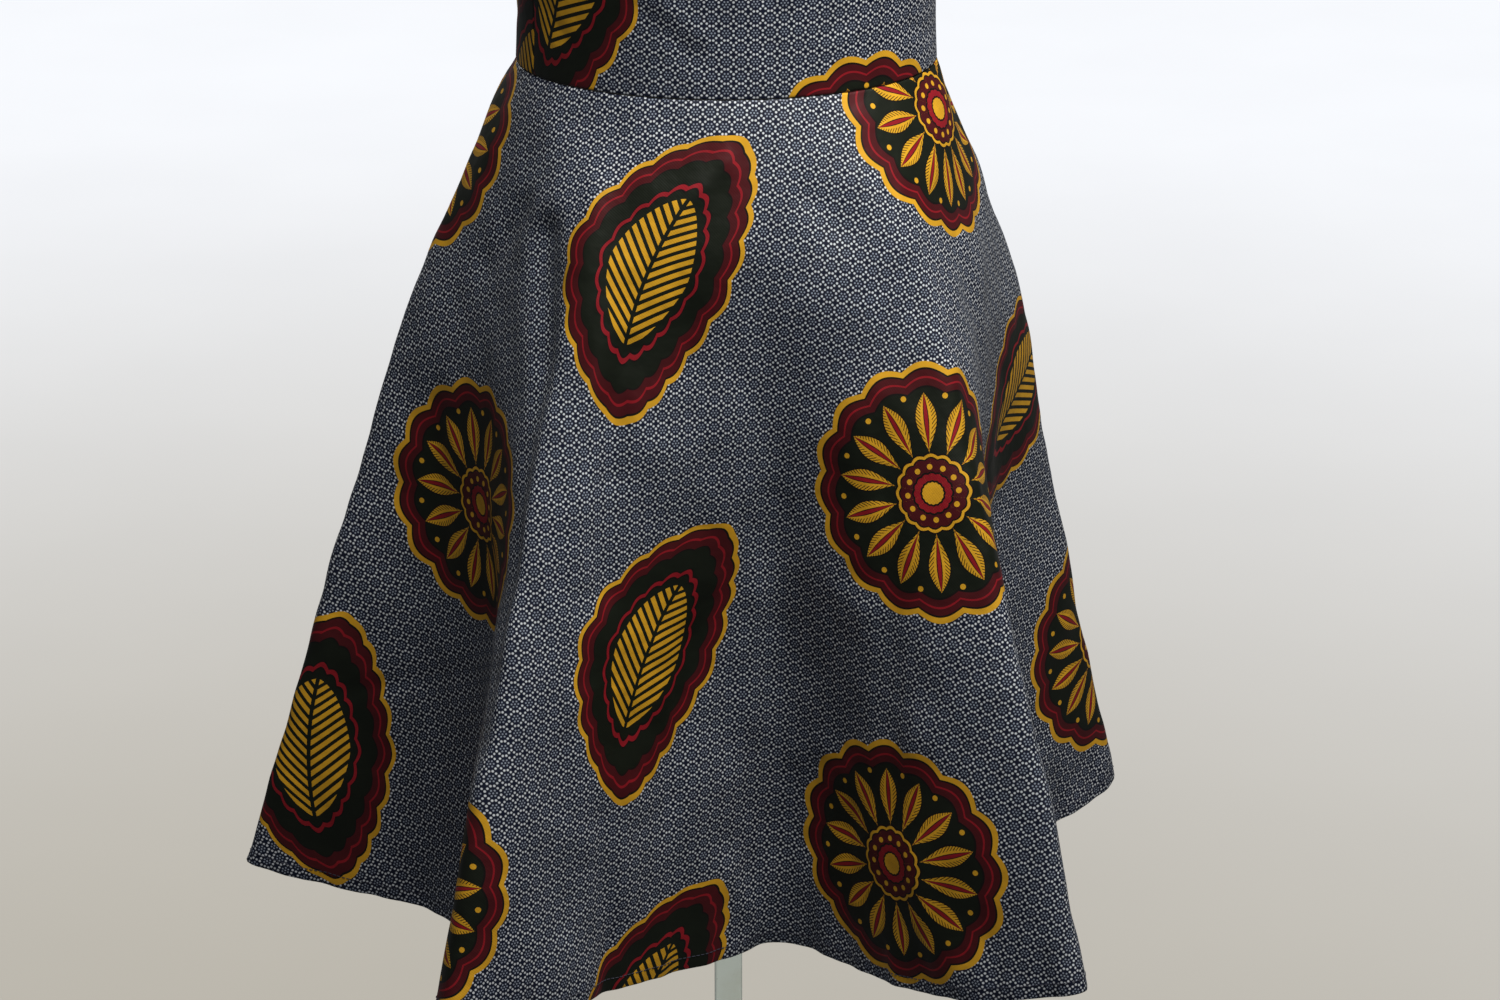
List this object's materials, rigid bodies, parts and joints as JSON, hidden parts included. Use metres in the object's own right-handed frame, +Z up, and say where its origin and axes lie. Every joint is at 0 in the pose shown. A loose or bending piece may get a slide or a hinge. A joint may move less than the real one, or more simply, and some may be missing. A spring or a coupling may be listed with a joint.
{
  "type": "flared skirt on dress form",
  "caption": "Short flared skirt of printed cotton that falls in deep soft folds from a high waistband, worn by a limbless dress form on a pole with a round base.",
  "frame": {"origin": "on the floor, under the middle of the pole, at the centre of the base plate's flat underside", "axes": "+Z up along the pole, which is the longest extent; -Y towards the front of the skirt, +X towards the wearer's left"},
  "size_m": [0.5686, 0.534, 1.6083],
  "materials": {
    "printed_cotton": "crisp printed cotton with a slight polish",
    "button_resin": "polished",
    "form_jersey": "close knitted jersey",
    "turned_beech": "clear lacquer",
    "stand_paint": "satin paint"
  },
  "bodies": {
    "root": {"skirt_front": "printed_cotton", "skirt_back_left": "printed_cotton", "skirt_back_right": "printed_cotton", "band_front": "printed_cotton", "band_back_left": "printed_cotton", "band_back_right": "printed_cotton", "button_1": "button_resin", "button_2": "button_resin", "button_3": "button_resin", "form_torso": "form_jersey", "form_neck_cap": "turned_beech", "stand_base": "stand_paint", "stand_flange": "stand_paint", "stand_foot": "stand_paint", "stand_pole": "stand_paint"}
  },
  "joints": []
}
